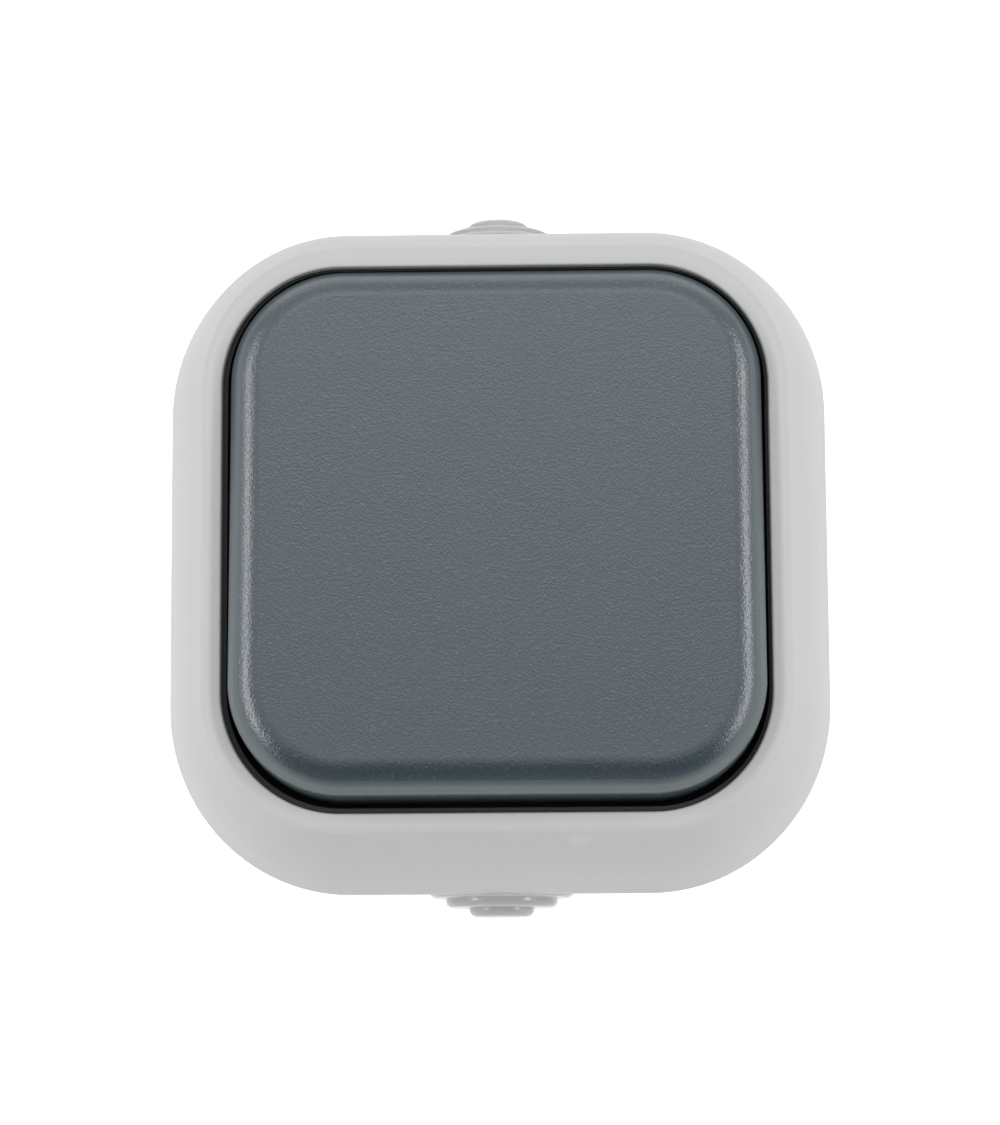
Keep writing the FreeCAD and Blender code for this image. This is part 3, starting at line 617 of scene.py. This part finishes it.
# The skirt arches over the grommets. The end walls are first cut into narrow columns, and their edge
# is then moved forward to the arch.
notch_radius = 7.55
notch_depth = 27.3
notch_columns = 27
notch_half = 6.5
end_wall = 26.7
skin_in = 4.5
skin_out = 5.9
for index in range(notch_columns):
    x = (index / (notch_columns - 1) - 0.5) * 2 * notch_half
    cut = [face for face in bm.faces if abs(face.calc_center_median().z) > end_wall * mm]
    parts = cut + list({edge for face in cut for edge in face.edges})
    parts += list({vert for face in cut for vert in face.verts})
    bmesh.ops.bisect_plane(bm, geom=parts, plane_co=(x * mm, 0, 0), plane_no=(1, 0, 0), dist=1e-7)
slope = (rim_out - slope_middle[0]) / (slope_middle[1] - rim_depth)
for vert in bm.verts:
    x = vert.co.x / mm
    if abs(x) >= notch_radius or abs(vert.co.z) < (lip_half_z + skin_in) * mm:
        continue
    arch_depth = notch_depth + math.sqrt(notch_radius**2 - x**2)
    if -vert.co.y < arch_depth * mm:
        if abs(vert.co.z) > (lip_half_z + skin_out) * mm:
            out = rim_out - max(0, arch_depth - rim_depth) * slope
            vert.co.z = math.copysign((lip_half_z + out) * mm, vert.co.z)
        vert.co.y = -arch_depth * mm
bmesh.ops.remove_doubles(bm, verts=bm.verts[:], dist=1e-6)
bmesh.ops.recalc_face_normals(bm, faces=bm.faces[:])
bmesh.ops.translate(bm, verts=bm.verts[:], vec=cover_shift)
cover = finish_piece(bm, "cover_shell", [cover_plastic])
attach(cover, "housing")
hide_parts("cover_frame")

# Rocker seal. A black rubber ring in the gap: its collar lines the opening, its floor lies on the cover
# and its bellows stands round the window under the rocker.
seal_front = 49.4
collar_in = 0.41
collar_round = 0.08
collar_shift = (0.1 * mm, 0, 0.15 * mm)
collar_margin = 0.05
floor_thick = 1.0
membrane = floor_front + floor_thick
bellows = (19.45, 15.8, 3.0)
bellows_top = 44.4

black_rubber = plastic("black_rubber", (0.0085, 0.008, 0.008), 0.25, 3500.0, 0.35, 0.6)
# Its lower part is a little paler: painted light, standing in for more light falling low on the ring.
painted_light_heights = (-0.019, -0.0245)
painted_light_colour = (0.032, 0.0305, 0.03)
tree = black_rubber.node_tree
place = tree.nodes.new("ShaderNodeTexCoord")
axes = tree.nodes.new("ShaderNodeSeparateXYZ")
tree.links.new(place.outputs["Object"], axes.inputs[0])
lay_wear_and_painted_light(black_rubber, between(tree, axes.outputs["Z"], *painted_light_heights), painted_light_colour)
collar_profile = [
    (0, floor_front, 0),
    (0, seal_front, 0),
    (-collar_in, seal_front, collar_round),
    (-collar_in, floor_front, 0),
]
run_x = (lip_half_x - lip_corner) * mm
run_z = (lip_half_z - lip_corner) * mm
bm = bmesh.new()
carry_round(bm, collar_profile, *opening)
inner = []
for vert in bm.verts:
    reach = Vector((max(abs(vert.co.x) - run_x, 0), max(abs(vert.co.z) - run_z, 0)))
    if reach.length < (lip_corner - collar_margin) * mm:
        inner.append(vert)
bmesh.ops.translate(bm, verts=inner, vec=collar_shift)
bridge_round(
    bm,
    [
        (*opening, floor_front),
        (*opening, membrane),
        (*bellows, membrane),
        (*bellows, bellows_top),
        (*window, bellows_top),
        (*window, floor_front),
    ],
)
bmesh.ops.scale(bm, verts=bm.verts[:], vec=narrowing)
bmesh.ops.translate(bm, verts=bm.verts[:], vec=cover_shift)
bmesh.ops.recalc_face_normals(bm, faces=bm.faces[:])
seal = finish_piece(bm, "seal_ring", [black_rubber])
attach(seal, "housing")
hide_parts("rocker_seal")

# Rocker. One dark moulding: a spark-eroded pebble grain covers its face and the soft crease round it,
# and the sloped border outside the crease is smooth. It is drawn level and then tilted to rest.
rocker_half_x = 25.45
rocker_half_z = 25.5
rocker_corner = 10.9
rocker_wall = 1.8
rocker_aside = 0.13
face_depth = 54.0
edge_depth = 51.415
crease_in = 2.03
band_middle = (-0.76, 52.82)
skirt_depth = 44.8
grain_reach = 0.9
tilt = math.radians(3.75)
pivot = Vector((0, -45.0 * mm, 0))

grained = plastic("rocker_grain", (0.036, 0.052, 0.066), 0.12, 4300.0, 1.0, 0.27)
look = grained.node_tree.nodes["Group"]
look.inputs["Grain Depth"].default_value = 0.000045
# The pale flecks on the rocker's grain are painted glints.
look.inputs["Painted Glints"].default_value = 1.2
smooth_dark = plastic("rocker_border", (0.056, 0.08, 0.0875), 0.06, 6000.0, 0.06, 0.34)
for material in (grained, smooth_dark):
    material.node_tree.nodes["Principled BSDF"].inputs["Specular IOR Level"].default_value = 0.75
rocker_profile = [
    (-rocker_corner, face_depth - rocker_wall, 0),
    (-crease_in, face_depth - rocker_wall, 0),
    (-rocker_wall, edge_depth, 0),
    (-rocker_wall, skirt_depth, 0),
    (0, skirt_depth, 0.25),
    (0, edge_depth, 0.4),
    (*band_middle, 0.45),
    (-crease_in, face_depth, 1.15),
    (-rocker_corner, face_depth, 0),
]
bm = bmesh.new()
carry_round(bm, rocker_profile, rocker_half_x, rocker_half_z, rocker_corner, closed=False)
bmesh.ops.holes_fill(bm, edges=[edge for edge in bm.edges if edge.is_boundary], sides=0)
bmesh.ops.recalc_face_normals(bm, faces=bm.faces[:])
for face in bm.faces:
    depths = [-vert.co.y / mm for vert in face.verts]
    face.material_index = 0 if min(depths) > face_depth - grain_reach else 1
bmesh.ops.rotate(bm, verts=bm.verts[:], cent=pivot, matrix=Matrix.Rotation(-tilt, 3, "X"))
bmesh.ops.translate(bm, verts=bm.verts[:], vec=(rocker_aside * mm, 0, 0))
rocker = finish_piece(bm, "rocker_cap", [grained, smooth_dark], sharp_angle=30)
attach(rocker, "rocker")
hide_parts("rocker")
